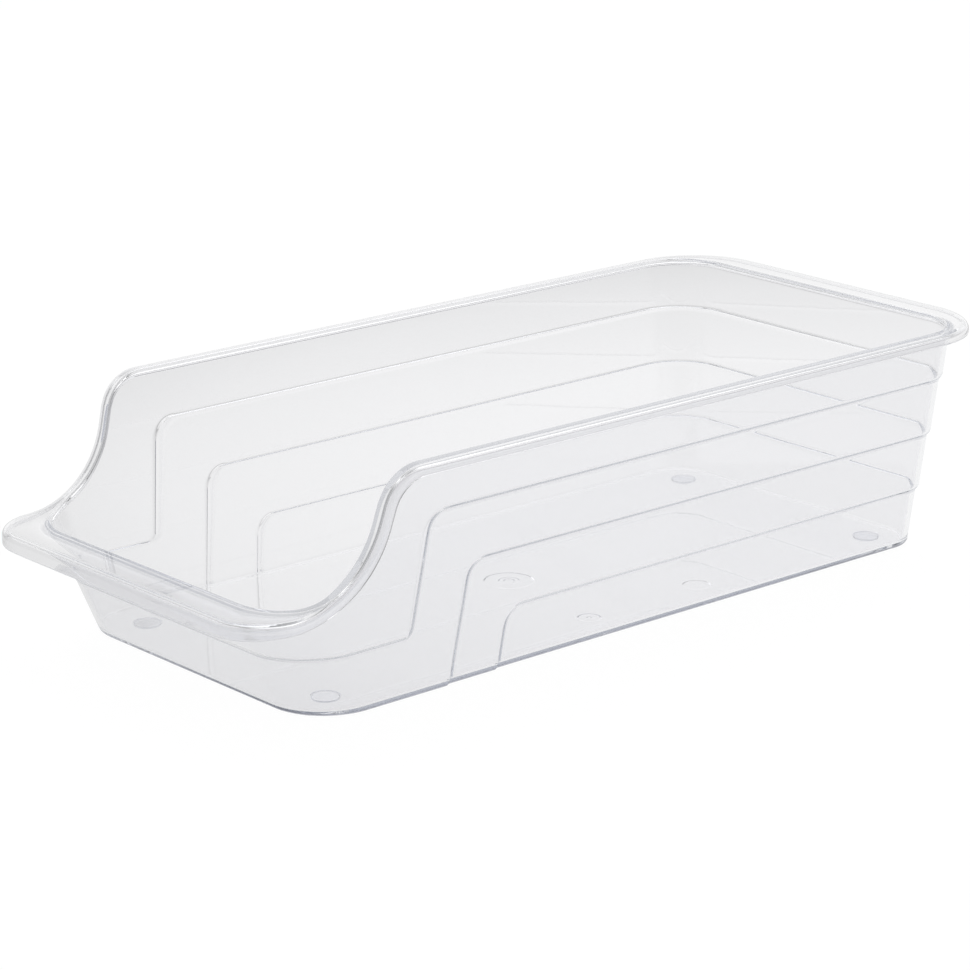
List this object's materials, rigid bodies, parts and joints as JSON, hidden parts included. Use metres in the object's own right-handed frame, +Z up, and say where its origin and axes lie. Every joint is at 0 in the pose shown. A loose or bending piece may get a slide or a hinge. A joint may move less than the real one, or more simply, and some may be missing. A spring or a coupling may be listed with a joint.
{
  "type": "fridge organizer bin",
  "caption": "Clear open-topped fridge organizer bin with stepped ledges in its walls, a low scooped front, a turned-over rim that is the pull at the front, and small round foot pads.",
  "frame": {"origin": "on the surface that the pads stand on, under the middle of the tray's overall length and width", "axes": "+Z up, +Y towards the high rear wall, -Y towards the low front with its pull, +X towards the right-hand wall as seen from the front"},
  "size_m": [0.1842, 0.3978, 0.097],
  "materials": {
    "tray": "clear, polished, very slightly blue",
    "pads": "clear, softly polished"
  },
  "bodies": {
    "root": {"tray": "tray", "front_left_foot": "pads", "front_right_foot": "pads", "rear_left_foot": "pads", "rear_right_foot": "pads"}
  },
  "joints": []
}
